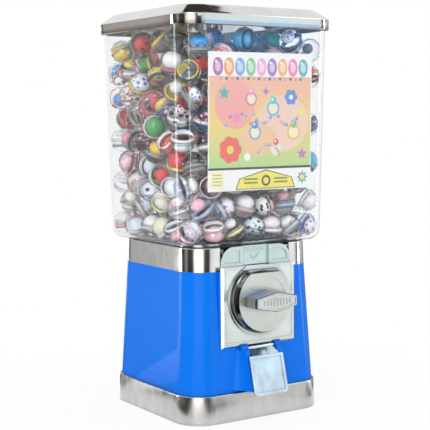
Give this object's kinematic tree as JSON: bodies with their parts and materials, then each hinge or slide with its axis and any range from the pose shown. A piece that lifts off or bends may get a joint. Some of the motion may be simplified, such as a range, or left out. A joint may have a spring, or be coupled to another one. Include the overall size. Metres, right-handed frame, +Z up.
{
  "type": "capsule vending machine",
  "caption": "Countertop coin-operated capsule vending machine: clear square globe, lift-off lid, turn handle geared to a pocketed wheel, and a flap-covered chute.",
  "frame": {"origin": "middle of the base's underside", "axes": "+Z up, front (handle and chute) towards -Y, +X to the right of a person facing the front"},
  "size_m": [0.203, 0.2241, 0.4508],
  "materials": {
    "chrome": "polished plating over zinc casting",
    "blue_paint": "glossy blue enamel",
    "clear": "clear polycarbonate",
    "rubber": "matt black",
    "card": "printed card",
    "brass": "plain",
    "steel": "zinc plated",
    "grey_plastic": "moulded",
    "white_plastic": "moulded"
  },
  "bodies": {
    "cabinet": {"base_pan": "chrome", "body_housing": "blue_paint", "collar": "chrome", "globe_gasket": "rubber", "globe": "clear", "display_card": "card", "centre_rod": "steel", "rod_nuts": "steel", "wheel_cup": "grey_plastic", "sweep_brush": "steel", "brush_bristles": "grey_plastic", "chute": "steel", "chute_screws": "steel", "hinge_pin": "steel", "mech_faceplate": "chrome", "mech_backplate": "steel", "mech_posts": "steel", "mech_screws": "steel", "pawl_pin": "steel", "pawl_spring": "steel"},
    "turn_handle": {"knob": "chrome", "knob_shaft": "steel", "coin_carrier": "steel", "shaft_clip": "steel", "drive_pinion": "steel"},
    "dispensing_wheel": {"wheel": "white_plastic"},
    "flap": {"flap_door": "chrome"},
    "lid_cover": {"lid": "chrome", "lock_barrel": "chrome", "lock_nut": "steel"},
    "lock": {"lock_plug": "brass"},
    "pawl": {"coin_pawl": "steel"}
  },
  "joints": [
    {"name": "handle_turn", "type": "hinge", "parent": "cabinet", "child": "turn_handle", "pos_m": [0, -0.09, 0.132], "axis": [0, 1, 0], "continuous": true},
    {"name": "wheel_turn", "type": "hinge", "parent": "cabinet", "child": "dispensing_wheel", "pos_m": [0, 0, 0.155], "axis": [0, 0, 1], "continuous": true},
    {"name": "flap_swing", "type": "hinge", "parent": "cabinet", "child": "flap", "pos_m": [0, -0.0885, 0.078], "axis": [-1, 0, 0], "range_deg": [0, 62]},
    {"name": "lid_lift", "type": "slide", "parent": "cabinet", "child": "lid_cover", "axis": [0, 0, 1], "range_m": [0, 0.12]},
    {"name": "lock_turn", "type": "hinge", "parent": "lid_cover", "child": "lock", "pos_m": [0, 0, 0.446], "axis": [0, 0, 1], "range_deg": [0, 90]},
    {"name": "pawl_lift", "type": "hinge", "parent": "cabinet", "child": "pawl", "pos_m": [-0.0345, -0.08, 0.143], "axis": [0, 1, 0], "range_deg": [0, 6], "stiffness_Nm_per_rad": 0.02, "springref_deg": -17.19}
  ],
  "couplings": [
    {"joint": "wheel_turn", "follows": "handle_turn", "ratio": 0.16667}
  ]
}
